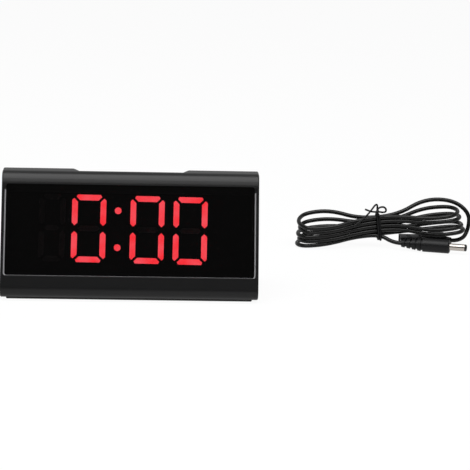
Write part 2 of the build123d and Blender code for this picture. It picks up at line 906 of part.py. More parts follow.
with BuildPart() as display_ribbon:
    with BuildSketch(Plane.YZ.offset(display_ribbon_x)):
        with BuildLine():
            Line((ribbon_start.Y, ribbon_start.Z), (display_ribbon_y, socket_top + fit_gap))
        trace(line_width=ribbon_thickness)
    extrude(amount=ribbon_width / 2, both=True)
save(display_ribbon, "display_ribbon")

with BuildPart() as button_ribbon:
    with BuildSketch(Plane.YZ.offset(button_ribbon_x)):
        with BuildLine():
            FilletPolyline(
                (button_ribbon_top_y, button_socket_bottom),
                (button_ribbon_top_y, button_socket_bottom - ribbon_knee_drop),
                (button_ribbon_y, socket_top + ribbon_heel_rise),
                (button_ribbon_y, socket_top),
                radius=ribbon_bend,
            )
        trace(line_width=ribbon_thickness)
    extrude(amount=ribbon_width / 2, both=True)
save(button_ribbon, "button_ribbon")

with BuildPart() as ribbon_sockets:
    with BuildSketch(Plane.XY.offset(board_top)):
        with Locations((display_ribbon_x, display_ribbon_y), (button_ribbon_x, button_ribbon_y)):
            Rectangle(socket_length, socket_width)
    extrude(amount=socket_height)
    with BuildSketch(Plane.XY.offset(button_board_bottom)):
        with Locations((button_ribbon_x, button_ribbon_top_y)):
            Rectangle(socket_length, socket_width)
    extrude(amount=-socket_height)
    with BuildSketch(display_socket):
        with Locations((display_ribbon_x, display_ribbon_rise)):
            Rectangle(socket_length, socket_width)
    extrude(amount=-socket_height)
save(ribbon_sockets, "ribbon_sockets")

# Hatch in the base: a coin turns it, and two lugs hold it behind the floor
hatch_bottom = foot_proud + hatch_setback
lug_bottom = floor_top + hatch_gap
lug_top = lug_bottom + hatch_lug_height
with BuildPart() as battery_hatch:
    with BuildSketch(Plane.XY.offset(hatch_bottom)):
        with Locations((hatch_x, hatch_y)):
            Circle(hatch_radius)
    extrude(amount=hatch_plate)
    with BuildSketch(Plane.XY.offset(hatch_bottom)):
        with Locations((hatch_x, hatch_y)):
            Circle(hatch_neck)
    extrude(amount=lug_top - hatch_bottom)
    with BuildSketch(Plane.XY.offset(lug_bottom)):
        with Locations((hatch_x, hatch_y)):
            Circle(hatch_lug)
            Rectangle(
                2 * hatch_lug,
                2 * hatch_lug * sin(radians(hatch_lug_angle / 2)),
                mode=Mode.INTERSECT,
            )
    extrude(amount=hatch_lug_height)
    with BuildSketch(Plane.XY.offset(hatch_bottom)):
        with Locations((hatch_x, hatch_y)):
            SlotOverall(coin_slot_length, coin_slot_width)
    extrude(amount=coin_slot_depth, mode=Mode.SUBTRACT)
save(battery_hatch, "battery_hatch")

# Coin cell in a cup under the main board, with its leaf contact above it
cell_bottom = lug_top + cell_gap
cell_top = cell_bottom + cell_height
with BuildPart() as coin_cell:
    with BuildSketch(Plane.XY.offset(cell_bottom)):
        with Locations((hatch_x, hatch_y)):
            Circle(cell_radius)
    extrude(amount=cell_height)
save(coin_cell, "coin_cell")

with BuildPart() as cell_holder:
    with BuildSketch(Plane.XY.offset(cell_bottom + hatch_gap)):
        with Locations((hatch_x, hatch_y)):
            Circle(cell_radius + cell_gap + holder_wall)
    extrude(amount=board_rise - cell_bottom - hatch_gap)
    with BuildSketch(Plane.XY.offset(cell_bottom + hatch_gap)):
        with Locations((hatch_x, hatch_y)):
            Circle(cell_radius + cell_gap)
    extrude(amount=board_rise - holder_roof - cell_bottom - hatch_gap, mode=Mode.SUBTRACT)
save(cell_holder, "cell_holder")

with BuildPart() as cell_contact:
    with BuildSketch(Plane.XY.offset(board_rise - holder_roof)):
        with Locations((hatch_x, hatch_y)):
            Rectangle(cell_radius, contact_width)
    extrude(amount=-contact_thickness)
save(cell_contact, "cell_contact")

# Hank: its own frame has x along the folds, y towards the reader and z up the stack
yaw = radians(hank_yaw)
tilt = radians(hank_tilt)
along = Vector(cos(yaw) * cos(tilt), sin(yaw) * cos(tilt), sin(tilt))
near = Vector(sin(yaw), -cos(yaw), 0)
stack = along.cross(near * -1)
waist = Vector(hank_x, hank_y, lead_diameter / 2 + floor_gap + hank_left * sin(tilt))


def hank_point(x, y, z):
    """A point of the hank's own frame, where it lies beside the clock."""
    return waist + along * x + near * y + stack * z


def hank_way(x, y, z):
    """A direction of the hank's own frame."""
    return (along * x + near * y + stack * z).normalized()


half_pitch = hank_pitch / 2
stack_top = (hank_turns - 1) * hank_pitch
dc_axis = Vector(cos(radians(dc_yaw)), sin(radians(dc_yaw)), 0)
dc_rear = Vector(dc_rear_x, dc_rear_y, dc_body_radius + floor_gap)
usb_axis = Vector(-1, 0, 0)
usb_rear = Vector(hank_x + usb_rear_x, usb_y, usb_body_height / 2 + floor_gap)

# Each turn runs left along the front, folds, runs right along the back and folds again
route = [(dc_rear - dc_axis * lead_diameter, dc_axis * -1)]
for turn in range(hank_turns):
    level = turn * hank_pitch
    left = hank_left - hank_left_stagger * (turn % 2) - hank_left_step * turn
    fold = fold_radius + left_fold_growth * turn
    share = turn / (hank_turns - 1)
    lift = left_lift_low + (left_lift_high - left_lift_low) * share**2
    route += [
        (hank_point(0 if turn else first_waist, half_pitch, level), hank_way(-1, 0, 0)),
        (hank_point(fold - left, fold, level), hank_way(-1, 0, 0)),
        (hank_point(-left, 0, level + lift / 2), hank_way(0, -2 * fold, lift)),
        (hank_point(fold - left, -fold, level + lift), hank_way(1, 0, 0)),
        (hank_point(0, -half_pitch, level), hank_way(1, 0, 0)),
    ]
    if turn == hank_turns - 1:
        break
    right = hank_right - hank_right_step * turn
    fold = fold_radius + right_fold_growth * turn
    droop = right_droop / (1 + (turn / right_droop_turn) ** 4)
    back = level + right_lift + right_lift_growth * turn - droop
    front = level + hank_pitch - droop
    route += [
        (hank_point(right - fold, -fold, back), hank_way(1, 0, 0)),
        (hank_point(right, 0, (back + front) / 2), hank_way(0, 2 * fold, front - back)),
        (hank_point(right - fold, fold, front), hank_way(-1, 0, 0)),
    ]
last_shoulder = hank_point(last_fold_x, last_fold_y, stack_top + last_fold_lift)
last_apex = Vector(hank_x + last_apex_x, (last_shoulder.Y + usb_y) / 2, usb_rear.Z + last_apex_rise)
route += [
    (last_shoulder, Vector(1, 0, 0)),
    (last_apex, Vector(0, 0, -1)),
    (usb_rear - usb_axis * lead_diameter, usb_axis),
]


def biarc_joint(start, start_way, end, end_way):
    """Where two arcs that leave start and reach end along their ways meet, and its way."""
    chord = end - start
    both = start_way + end_way
    a = both.dot(both) - 4
    b = -2 * chord.dot(both)
    c = chord.dot(chord)
    reach = 2 * c / (sqrt(b * b - 4 * a * c) - b)
    from_start = start + start_way * reach
    from_end = end - end_way * reach
    return (from_start + from_end) * 0.5, (from_end - from_start).normalized()


def arc_points(start, way, end, steps=8):
    """Points along the arc that leaves start along a way, without its end."""
    chord = end - start
    side = (chord - way * chord.dot(way)).normalized()
    angle = 2 * atan2(chord.dot(side), chord.dot(way))
    radius = chord.dot(chord) / (2 * chord.dot(side))
    turns = [angle * step / steps for step in range(steps)]
    return [start + way * (radius * sin(t)) + side * (radius * (1 - cos(t))) for t in turns], radius


lead_points = []
lead_radii = []
with BuildPart() as power_lead:
    with BuildLine() as lead_path:
        Line(dc_rear, route[0][0])
        for (start, start_way), (end, end_way) in zip(route[:-1], route[1:]):
            joint, joint_way = biarc_joint(start, start_way, end, end_way)
            TangentArc(start, joint, tangent=start_way)
            TangentArc(joint, end, tangent=joint_way)
            for arc in ((start, start_way, joint), (joint, joint_way, end)):
                points, radius = arc_points(*arc)
                lead_points += points
                lead_radii.append(radius)
        Line(route[-1][0], usb_rear)
    with BuildSketch(Plane(origin=dc_rear, z_dir=dc_axis * -1)):
        RegularPolygon(lead_diameter / 2, lead_sides)
    sweep()
save(power_lead, "power_lead")

lead_length = lead_path.wires()[0].length
lead_volume = lead_length * lead_sides / 2 * (lead_diameter / 2) ** 2 * sin(radians(360 / lead_sides))
apart = 5 * lead_diameter
run = [0.0]
for before, after in zip(lead_points[:-1], lead_points[1:]):
    run.append(run[-1] + (after - before).length)
least_gap = min(
    (lead_points[i] - lead_points[j]).length
    for i in range(len(lead_points))
    for j in range(i)
    if run[i] - run[j] > apart
)
print(f"power lead: {lead_length:.1f} mm long, volume {power_lead.part.volume:.1f} of {lead_volume:.1f} mm3")
print(f"power lead: least gap to itself {least_gap - lead_diameter:.2f} mm")
print(f"power lead: least bend radius {min(lead_radii):.1f} mm")

# Barrel plug: a moulded body with a ringed strain relief, a plated barrel and its tip ring
dc_frame = Plane(origin=dc_rear, x_dir=(0, 0, 1), z_dir=dc_axis)
dc_side = Plane(origin=dc_rear, x_dir=(0, 0, 1), z_dir=dc_axis.cross(Vector(0, 0, 1)) * -1)
ring_pitch = dc_relief_length / dc_relief_rings
relief_slope = (dc_body_radius - dc_relief_radius) / dc_relief_length
dc_profile = [(0, 0), (dc_relief_radius, 0)]
for ring in range(dc_relief_rings):
    ring_start = ring * ring_pitch
    ring_end = ring_start + ring_pitch * dc_ring_fill
    ring_next = ring_start + ring_pitch
    dc_profile += [
        (dc_relief_radius + relief_slope * ring_start, ring_start),
        (dc_relief_radius + relief_slope * ring_end, ring_end),
        (dc_relief_radius + relief_slope * ring_end - dc_ring_groove, ring_end),
        (dc_relief_radius + relief_slope * ring_next - dc_ring_groove, ring_next),
    ]
dc_body_end = dc_relief_length + dc_body_length
dc_profile += [
    (dc_body_radius, dc_relief_length),
    (dc_body_radius, dc_body_end - dc_body_round),
    (dc_body_radius - dc_body_round, dc_body_end),
    (0, dc_body_end),
]
with BuildPart() as dc_plug_body:
    with BuildSketch(dc_side):
        with BuildLine():
            Polyline(*dict.fromkeys(dc_profile), close=True)
        make_face()
    revolve(axis=Axis(dc_rear, dc_axis))
save(dc_plug_body, "dc_plug_body")

with BuildPart() as dc_plug_barrel:
    with BuildSketch(dc_frame.offset(dc_body_end)):
        Circle(dc_barrel_radius)
        Circle(dc_barrel_bore, mode=Mode.SUBTRACT)
    extrude(amount=dc_barrel_length)
save(dc_plug_barrel, "dc_plug_barrel")

with BuildPart() as dc_plug_tip:
    with BuildSketch(dc_frame.offset(dc_body_end + dc_barrel_length)):
        Circle(dc_barrel_radius)
        Circle(dc_barrel_bore, mode=Mode.SUBTRACT)
    extrude(amount=dc_tip_length)
    chamfer(dc_plug_tip.edges().filter_by(GeomType.CIRCLE).sort_by(SortBy.RADIUS)[-1], dc_tip_chamfer)
save(dc_plug_tip, "dc_plug_tip")

# Rectangular plug on the other end: moulded grip, folded sheet shell and contact tongue
usb_frame = Plane(origin=usb_rear, x_dir=(0, 1, 0), z_dir=usb_axis)
with BuildPart() as usb_plug_body:
    with BuildSketch(usb_frame):
        Circle(usb_relief_tip)
    with BuildSketch(usb_frame.offset(usb_relief_length)):
        Circle(usb_relief_base)
    loft()
    with BuildSketch(usb_frame.offset(usb_relief_length)):
        RectangleRounded(usb_body_width, usb_body_height, usb_body_round)
    extrude(amount=usb_body_length)
save(usb_plug_body, "usb_plug_body")

with BuildPart() as usb_plug_shell:
    with BuildSketch(usb_frame.offset(usb_relief_length + usb_body_length)):
        Rectangle(usb_shell_width, usb_shell_height)
        Rectangle(
            usb_shell_width - 2 * usb_shell_wall,
            usb_shell_height - 2 * usb_shell_wall,
            mode=Mode.SUBTRACT,
        )
    extrude(amount=usb_shell_length)
    with BuildSketch(Plane(origin=usb_rear, x_dir=usb_axis)):
        with Locations((usb_relief_length + usb_body_length + usb_shell_length - usb_window_setback, 0)):
            with GridLocations(1, usb_window_spread, 1, 2):
                Rectangle(usb_window_length, usb_window_width)
    extrude(amount=usb_shell_height, both=True, mode=Mode.SUBTRACT)
save(usb_plug_shell, "usb_plug_shell")

with BuildPart() as usb_plug_tongue:
    with BuildSketch(usb_frame.offset(usb_relief_length + usb_body_length)):
        with Locations((0, (usb_shell_height - usb_tongue_height) / 2 - usb_shell_wall - fit_gap)):
            Rectangle(usb_tongue_width, usb_tongue_height)
    extrude(amount=usb_shell_length - usb_tongue_setback)
save(usb_plug_tongue, "usb_plug_tongue")

# Wire tie: one wire round the waist, whose two ends rise side by side into short tails
tie_side = half_pitch + lead_diameter / 2 + tie_gap + tie_radius
tie_high = stack_top + lead_diameter / 2 + tie_gap + tie_radius
tie_low = stack_top - tie_high - tie_low_room
tie_front = tie_side + tie_front_room
tie_points = [
    (-tie_left_tail, tie_riser, tie_high + tie_rise),
    (0, tie_riser, tie_high + tie_rise),
    (0, tie_riser, tie_high),
    (0, tie_front, tie_high),
    (0, tie_front, tie_low),
    (0, -tie_side, tie_low),
    (0, -tie_side, tie_high),
    (0, -tie_riser, tie_high),
    (0, -tie_riser, tie_high + tie_rise),
    (tie_right_tail, -tie_riser, tie_high + tie_rise),
]
with BuildPart() as twist_tie:
    with BuildLine() as tie_path:
        FilletPolyline(*[hank_point(*point) for point in tie_points], radius=tie_bend)
    with BuildSketch(Plane(origin=tie_path.line @ 0, z_dir=tie_path.line % 0)):
        RegularPolygon(tie_radius, tie_sides)
    sweep()
save(twist_tie, "twist_tie")
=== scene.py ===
"""Looks of a wedge-shaped LED desk clock and its folded power lead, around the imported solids.

Metres, +Z up. The display faces -Y, and +X is to the right of someone who reads the time.
"""

from math import cos, pi, radians, sin, tan

import bpy
from mathutils import Matrix, Vector


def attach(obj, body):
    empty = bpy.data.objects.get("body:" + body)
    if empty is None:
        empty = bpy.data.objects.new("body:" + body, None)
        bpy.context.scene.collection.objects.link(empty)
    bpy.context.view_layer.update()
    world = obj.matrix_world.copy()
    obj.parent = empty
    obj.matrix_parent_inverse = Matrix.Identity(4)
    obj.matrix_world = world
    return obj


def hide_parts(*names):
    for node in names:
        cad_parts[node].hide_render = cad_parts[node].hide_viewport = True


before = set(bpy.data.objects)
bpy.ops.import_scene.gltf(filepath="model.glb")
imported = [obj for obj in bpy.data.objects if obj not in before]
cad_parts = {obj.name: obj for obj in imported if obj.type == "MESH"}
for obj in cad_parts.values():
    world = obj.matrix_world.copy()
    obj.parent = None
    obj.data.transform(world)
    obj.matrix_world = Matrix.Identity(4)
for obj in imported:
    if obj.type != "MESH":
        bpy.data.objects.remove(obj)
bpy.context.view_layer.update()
bpy.ops.object.select_all(action="DESELECT")


# Case halves and cell hatch: injection-moulded black ABS. Two long screws from below hold the halves.
# The spark-eroded mould leaves a satin grain, so the black goes softly grey where it mirrors a light.
# The real grain is about 0.05 mm. It is drawn at 0.3 mm, so that a close view shows it.
def linear(hex_colour):
    """sRGB hex colour as linear red, green, blue and alpha."""
    shares = [int(hex_colour[i : i + 2], 16) / 255 for i in (1, 3, 5)]
    return (*[c / 12.92 if c <= 0.04045 else ((c + 0.055) / 1.055) ** 2.4 for c in shares], 1.0)


def add_node(tree, kind, inputs=None, **settings):
    """Add a shader node. Settings are its properties, inputs are links or constants by socket."""
    node = tree.nodes.new(kind)
    for name, value in settings.items():
        setattr(node, name, value)
    for socket, value in (inputs or {}).items():
        if isinstance(value, bpy.types.NodeSocket):
            tree.links.new(value, node.inputs[socket])
        else:
            node.inputs[socket].default_value = value
    return node


def moulded(name, dark, light, mottle, grain, rough, ior):
    """A moulded plastic: flow mottle in its tone, fine tool grain in its gloss and relief."""
    grain_depth = grain / 6
    grain_strength = 0.15
    material = bpy.data.materials.new(name)
    material.use_nodes = True
    tree = material.node_tree
    shader = tree.nodes["Principled BSDF"]
    shader.inputs["IOR"].default_value = ior
    place = add_node(tree, "ShaderNodeTexCoord").outputs["Object"]
    cloud = add_node(tree, "ShaderNodeTexNoise", {"Vector": place, "Scale": 1 / mottle, "Detail": 3.0})
    tone = add_node(
        tree,
        "ShaderNodeMixRGB",
        {"Fac": cloud.outputs["Fac"], "Color1": linear(dark), "Color2": linear(light)},
    )
    specks = add_node(tree, "ShaderNodeTexNoise", {"Vector": place, "Scale": 1 / grain, "Detail": 2.0})
    gloss = add_node(
        tree,
        "ShaderNodeMapRange",
        {"Value": specks.outputs["Fac"], "To Min": rough[0], "To Max": rough[1]},
    )
    relief = add_node(
        tree,
        "ShaderNodeBump",
        {"Height": specks.outputs["Fac"], "Strength": grain_strength, "Distance": grain_depth},
    )
    tree.links.new(tone.outputs["Color"], shader.inputs["Base Color"])
    tree.links.new(gloss.outputs["Result"], shader.inputs["Roughness"])
    tree.links.new(relief.outputs["Normal"], shader.inputs["Normal"])
    return material


def dress(material, *names):
    """Give CAD nodes their real finish."""
    for name in names:
        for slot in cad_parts[name].material_slots:
            slot.material = material


face_lean = radians(19.0)
face_normal = (0.0, -cos(face_lean), sin(face_lean))
face_slope = (0.0, sin(face_lean), cos(face_lean))
case_abs = moulded(
    "moulded_black_abs", "#0a0a0b", "#0f0f10", mottle=0.012, grain=0.0003, rough=(0.30, 0.42), ior=1.43
)

# The bevel round the window is given a paler grey base colour, a painted highlight that stands in for the
# light it mirrors, so it shows as a thin grey line. It is the part of the window's frame that stands at 45
# degrees to the face.
window_half = 0.0645
window_sill = 0.0040
window_head = 0.0480
bevel_angle = radians(45.0)
bevel_slack = 0.04
tree = case_abs.node_tree
shader = tree.nodes["Principled BSDF"]
where = add_node(tree, "ShaderNodeTexCoord")
facing = add_node(
    tree, "ShaderNodeVectorMath", {0: where.outputs["Normal"], 1: face_normal}, operation="DOT_PRODUCT"
)
rise = add_node(
    tree, "ShaderNodeVectorMath", {0: where.outputs["Object"], 1: face_slope}, operation="DOT_PRODUCT"
)
across = add_node(tree, "ShaderNodeSeparateXYZ", {"Vector": where.outputs["Object"]})
aside = add_node(tree, "ShaderNodeMath", {0: across.outputs["X"]}, operation="ABSOLUTE")
inside = add_node(tree, "ShaderNodeMath", {0: aside.outputs["Value"], 1: window_half}, operation="LESS_THAN")
over = add_node(tree, "ShaderNodeMath", {0: rise.outputs["Value"], 1: window_sill}, operation="GREATER_THAN")
under = add_node(tree, "ShaderNodeMath", {0: rise.outputs["Value"], 1: window_head}, operation="LESS_THAN")
bevel_highlight_mask = add_node(
    tree,
    "ShaderNodeMath",
    {0: facing.outputs["Value"], 1: cos(bevel_angle), 2: bevel_slack},
    operation="COMPARE",
)
for limit in (inside, over, under):
    bevel_highlight_mask = add_node(
        tree, "ShaderNodeMath", {0: bevel_highlight_mask.outputs["Value"], 1: limit.outputs["Value"]}, operation="MULTIPLY"
    )
# Painted highlight: where the bevel mask holds, pale grey is mixed into the black base colour.
tone = add_node(
    tree,
    "ShaderNodeMixRGB",
    {
        "Fac": bevel_highlight_mask.outputs["Value"],
        "Color1": shader.inputs["Base Color"].links[0].from_socket,
        "Color2": linear("#8c8c8e"),
    },
)
tree.links.new(tone.outputs["Color"], shader.inputs["Base Color"])

# The brow above the window is crowned: it climbs gently, then falls away by up to 10 degrees towards
# the top roll, so that a soft grey band lies along it. Where it is steepest, a smooth step falls 1.5
# times as fast as on average.
brow_run_in = 0.010
brow_start = 0.0513
brow_end = 0.0555
crown_angle = radians(10.0)
step_peak = 1.5
brow_crown = (brow_end - brow_start) * tan(crown_angle) / step_peak
frontal_from = 0.9
climb = add_node(
    tree,
    "ShaderNodeMapRange",
    {
        "Value": rise.outputs["Value"],
        "From Min": brow_start - brow_run_in,
        "From Max": brow_start,
        "To Max": brow_crown,
    },
)
fall = add_node(
    tree,
    "ShaderNodeMapRange",
    {
        "Value": rise.outputs["Value"],
        "From Min": brow_start,
        "From Max": brow_end,
        "To Min": brow_crown,
        "To Max": 0.0,
    },
    interpolation_type="SMOOTHSTEP",
)
crown = add_node(
    tree, "ShaderNodeMath", {0: climb.outputs["Result"], 1: fall.outputs["Result"]}, operation="MINIMUM"
)
frontal = add_node(
    tree, "ShaderNodeMath", {0: facing.outputs["Value"], 1: frontal_from}, operation="GREATER_THAN"
)
crown = add_node(
    tree, "ShaderNodeMath", {0: crown.outputs["Value"], 1: frontal.outputs["Value"]}, operation="MULTIPLY"
)
relief = add_node(
    tree,
    "ShaderNodeBump",
    {
        "Height": crown.outputs["Value"],
        "Strength": 1.0,
        "Distance": 1.0,
        "Normal": shader.inputs["Normal"].links[0].from_socket,
    },
)
tree.links.new(relief.outputs["Normal"], shader.inputs["Normal"])
dress(case_abs, "upper_shell", "lower_shell", "battery_hatch")

# Feet: four discs punched from black nitrile rubber sheet and stuck in their pockets under the base.
# Rubber hardly mirrors anything, so they look dull and a little greyer than the case.
foot_rubber = moulded(
    "nitrile_rubber", "#222222", "#2b2b2a", mottle=0.003, grain=0.0002, rough=(0.70, 0.85), ior=1.52
)
dress(foot_rubber, "rubber_feet")

# Circuit boards: glass-fibre laminate under glossy green solder mask. Screws hold the main and the
# button board, and ribs of the case trap the display board. Copper runs show through the mask as a
# lighter green, 2.54 mm apart.
run_spacing = 0.00254
run_width = run_spacing / 14
run_length = 4 * run_spacing
laminate = moulded(
    "green_solder_mask", "#0e4526", "#124f2c", mottle=0.006, grain=0.0005, rough=(0.25, 0.40), ior=1.55
)
tree = laminate.node_tree
shader = tree.nodes["Principled BSDF"]
place = add_node(tree, "ShaderNodeTexCoord").outputs["Object"]
runs = add_node(
    tree,
    "ShaderNodeTexBrick",
    {
        "Vector": place,
        "Scale": 1.0,
        "Mortar Size": run_width,
        "Brick Width": run_length,
        "Row Height": run_spacing,
    },
)
tone = add_node(
    tree,
    "ShaderNodeMixRGB",
    {
        "Fac": runs.outputs["Fac"],
        "Color1": shader.inputs["Base Color"].links[0].from_socket,
        "Color2": linear("#1f7040"),
    },
)
tree.links.new(tone.outputs["Color"], shader.inputs["Base Color"])
dress(laminate, "main_board", "button_board", "display_board")

# Parts soldered to the boards: driver chip, sounder, switches, sockets, supply jack, cell holder and a
# sleeved capacitor. Epoxy and glass-filled nylon are dull and greyish, plain nylon is satin, black or
# creamy, and the sleeve shrunk round the capacitor shines.
chip_epoxy = moulded(
    "transfer_moulded_epoxy", "#19191a", "#202021", mottle=0.001, grain=0.0002, rough=(0.50, 0.65), ior=1.55
)
dress(chip_epoxy, "controller_chip")
switch_nylon = moulded(
    "glass_filled_nylon", "#101011", "#171718", mottle=0.002, grain=0.0003, rough=(0.45, 0.60), ior=1.58
)
dress(switch_nylon, "buzzer", "tact_switches")
jack_nylon = moulded(
    "black_nylon", "#121214", "#1a1a1c", mottle=0.002, grain=0.0003, rough=(0.40, 0.55), ior=1.53
)
dress(jack_nylon, "dc_jack", "cell_holder")
socket_nylon = moulded(
    "natural_nylon", "#d9d5c8", "#e4e1d6", mottle=0.002, grain=0.0003, rough=(0.35, 0.50), ior=1.53
)
dress(socket_nylon, "ribbon_sockets")
capacitor_sleeve = moulded(
    "shrunk_pvc_sleeve", "#10161f", "#161e29", mottle=0.002, grain=0.0004, rough=(0.25, 0.35), ior=1.53
)
dress(capacitor_sleeve, "capacitor")


# Bright metal pieces: the crystal's can, screws, cell, spring contact and plated plug parts, which are
# drawn, stamped or turned. Each mirrors the room with faint streaks along X, grey in steel and zinc,
# brown in bronze, warm white in nickel plate, and only dimly in black nickel.
def drawn_metal(name, dark, light, streak, rough):
    """A plated or bare metal with faint streaks of uneven gloss."""
    streak_stretch = 6.0
    material = bpy.data.materials.new(name)
    material.use_nodes = True
    tree = material.node_tree
    shader = tree.nodes["Principled BSDF"]
    shader.inputs["Metallic"].default_value = 1.0
    place = add_node(tree, "ShaderNodeTexCoord").outputs["Object"]
    drawn = add_node(
        tree, "ShaderNodeMapping", {"Vector": place, "Scale": (1.0, streak_stretch, streak_stretch)}
    )
    streaks = add_node(
        tree, "ShaderNodeTexNoise", {"Vector": drawn.outputs["Vector"], "Scale": 1 / streak, "Detail": 4.0}
    )
    tone = add_node(
        tree,
        "ShaderNodeMixRGB",
        {"Fac": streaks.outputs["Fac"], "Color1": linear(dark), "Color2": linear(light)},
    )
    gloss = add_node(
        tree,
        "ShaderNodeMapRange",
        {"Value": streaks.outputs["Fac"], "To Min": rough[0], "To Max": rough[1]},
    )
    tree.links.new(tone.outputs["Color"], shader.inputs["Base Color"])
    tree.links.new(gloss.outputs["Result"], shader.inputs["Roughness"])
    return material


crystal_can = drawn_metal("drawn_nickel_silver", "#b5b3ae", "#c9c7c2", streak=0.004, rough=(0.22, 0.34))
dress(crystal_can, "clock_crystal")
screw_steel = drawn_metal("zinc_plated_steel", "#a9abad", "#c0c2c4", streak=0.002, rough=(0.28, 0.42))
dress(screw_steel, "board_screws", "case_screws")
cell_steel = drawn_metal("stainless_steel", "#b8b8b6", "#cdcdcb", streak=0.006, rough=(0.20, 0.32))
dress(cell_steel, "coin_cell")
contact_bronze = drawn_metal("phosphor_bronze", "#a97b45", "#c0945b", streak=0.003, rough=(0.25, 0.40))
dress(contact_bronze, "cell_contact")
barrel_plate = drawn_metal("nickel_plated_brass", "#cbc4bd", "#ddd6cf", streak=0.002, rough=(0.14, 0.24))
dress(barrel_plate, "dc_jack_pin", "dc_plug_barrel")
usb_plate = drawn_metal("black_nickel_plate", "#202022", "#2c2c2e", streak=0.003, rough=(0.45, 0.60))
dress(usb_plate, "usb_plug_shell")

# Ribbons: flat grey PVC cable between the boards, extruded over a row of wires 1.27 mm apart.
# The jacket stands in a ridge over each wire, so the ribbon shows fine stripes of light and shade.
wire_pitch = 0.00127
ridge_height = wire_pitch / 4
ribbon_pvc = moulded(
    "ribbed_grey_pvc", "#7d7f80", "#8d8f90", mottle=0.004, grain=0.0004, rough=(0.40, 0.55), ior=1.53
)
tree = ribbon_pvc.node_tree
shader = tree.nodes["Principled BSDF"]
place = add_node(tree, "ShaderNodeTexCoord").outputs["Object"]
ridges = add_node(
    tree, "ShaderNodeTexWave", {"Vector": place, "Scale": pi / (10 * wire_pitch)}, bands_direction="X"
)
relief = add_node(
    tree,
    "ShaderNodeBump",
    {"Height": ridges.outputs["Fac"], "Strength": 0.6, "Distance": ridge_height},
)
tree.links.new(relief.outputs["Normal"], shader.inputs["Normal"])
dress(ribbon_pvc, "display_ribbon", "button_ribbon")

# Display reflector and chips: a block of polycarbonate, moulded matt black so that it swallows stray
# light, with a well behind every segment. The bare chips in the wells each have a drop of clear,
# yellowish and shiny resin on them.
reflector_black = moulded(
    "matt_black_polycarbonate",
    "#0b0b0c",
    "#101011",
    mottle=0.004,
    grain=0.0003,
    rough=(0.70, 0.85),
    ior=1.58,
)
dress(reflector_black, "display_reflector")
chip_resin = moulded(
    "clear_chip_resin", "#c9b46a", "#d8c680", mottle=0.001, grain=0.0002, rough=(0.10, 0.20), ior=1.50
)
dress(chip_resin, "led_chips")

# Lit digits and colon: milky epoxy bars cast into the reflector and lit from behind by their chips,
# a little brighter and pinker in patches where the resin scatters more. Seen through the dark lens,
# they need to be several times brighter than white.
patch_size = 0.006
patch_range = (0.3, 0.7)
lit_strength = 9.9
lit_epoxy = bpy.data.materials.new("lit_red_epoxy")
lit_epoxy.use_nodes = True
tree = lit_epoxy.node_tree
shader = tree.nodes["Principled BSDF"]
shader.inputs["Roughness"].default_value = 0.35
shader.inputs["IOR"].default_value = 1.52
shader.inputs["Emission Strength"].default_value = lit_strength
place = add_node(tree, "ShaderNodeTexCoord").outputs["Object"]
patches = add_node(tree, "ShaderNodeTexNoise", {"Vector": place, "Scale": 1 / patch_size, "Detail": 1.0})
spread = add_node(
    tree,
    "ShaderNodeMapRange",
    {"Value": patches.outputs["Fac"], "From Min": patch_range[0], "From Max": patch_range[1]},
)
glow = add_node(
    tree,
    "ShaderNodeMixRGB",
    {"Fac": spread.outputs["Result"], "Color1": linear("#ff3740"), "Color2": linear("#ff5761")},
)
tree.links.new(glow.outputs["Color"], shader.inputs["Base Color"])
tree.links.new(glow.outputs["Color"], shader.inputs["Emission Color"])
dress(lit_epoxy, "hour_segments", "minute_tens_segments", "minute_units_segments", "colon_dots")

# Unlit segments: the narrow leading digit and the middle bars, of the same milky epoxy with the chips
# behind them off. They are pale grey, and only just show through the dark lens.
unlit_epoxy = moulded(
    "unlit_grey_epoxy", "#928b8b", "#a09999", mottle=0.006, grain=0.0004, rough=(0.35, 0.50), ior=1.52
)
dress(unlit_epoxy, "unlit_segments")

# Lens: a polished sheet of cast, smoked acrylic, bonded into its rebate. It looks black until a
# segment lights behind it, and mirrors the room faintly. Casting leaves a long, shallow waviness.
casting_wave = 0.040
wave_depth = casting_wave / 200
smoked_acrylic = bpy.data.materials.new("smoked_acrylic")
smoked_acrylic.use_nodes = True
tree = smoked_acrylic.node_tree
shader = tree.nodes["Principled BSDF"]
shader.inputs["Base Color"].default_value = linear("#585253")
shader.inputs["Roughness"].default_value = 0.02
shader.inputs["IOR"].default_value = 1.49
shader.inputs["Transmission Weight"].default_value = 1.0
place = add_node(tree, "ShaderNodeTexCoord").outputs["Object"]
waves = add_node(tree, "ShaderNodeTexNoise", {"Vector": place, "Scale": 1 / casting_wave, "Detail": 1.0})
relief = add_node(
    tree, "ShaderNodeBump", {"Height": waves.outputs["Fac"], "Strength": 0.05, "Distance": wave_depth}
)
tree.links.new(relief.outputs["Normal"], shader.inputs["Normal"])
dress(smoked_acrylic, "lens")

# Buttons: five black ABS caps in the well on the top, each on a switch plunger of satin white nylon.
# Their mould is finer than the case's, so they look smoother and a little shinier.
button_names = ("set", "down", "snooze", "up", "alarm")
button_abs = moulded(
    "fine_black_abs", "#161617", "#1c1c1d", mottle=0.004, grain=0.0002, rough=(0.28, 0.38), ior=1.54
)
dress(button_abs, *[f"{name}_button" for name in button_names])
plunger_nylon = moulded(
    "white_nylon", "#cfccc2", "#dcd9d0", mottle=0.002, grain=0.0003, rough=(0.35, 0.50), ior=1.53
)
dress(plunger_nylon, *[f"{name}_plunger" for name in button_names])

